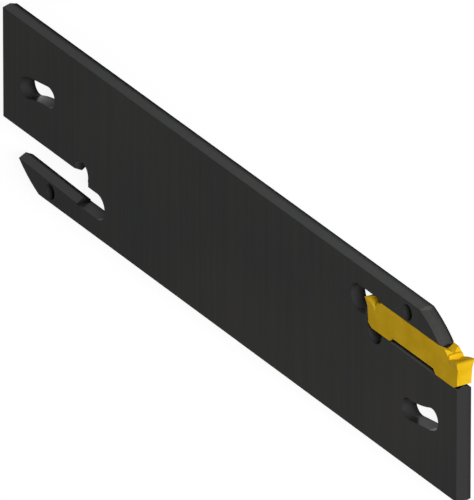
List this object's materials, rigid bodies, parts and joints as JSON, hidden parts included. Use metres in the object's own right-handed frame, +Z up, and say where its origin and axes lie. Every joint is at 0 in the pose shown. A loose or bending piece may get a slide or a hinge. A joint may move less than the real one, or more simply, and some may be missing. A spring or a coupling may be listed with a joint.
{
  "type": "parting blade",
  "caption": "Double-ended parting and grooving blade with roofed clamping edges, a spring-jaw insert pocket at each end and a grooved cutting insert pressed into one of them.",
  "frame": {"origin": "centre of the blade's underside face", "axes": "+X along the blade towards the end that holds the insert, +Y across its height towards that end's spring jaw, +Z up through its thickness"},
  "size_m": [0.1507, 0.032, 0.0037],
  "materials": {
    "blade_steel": "ground and blackened, low sheen",
    "insert_coating": "gold-coloured hard coating on sintered carbide, satin"
  },
  "bodies": {
    "root": {"blade_body": "blade_steel", "cutting_insert": "insert_coating"}
  },
  "joints": []
}
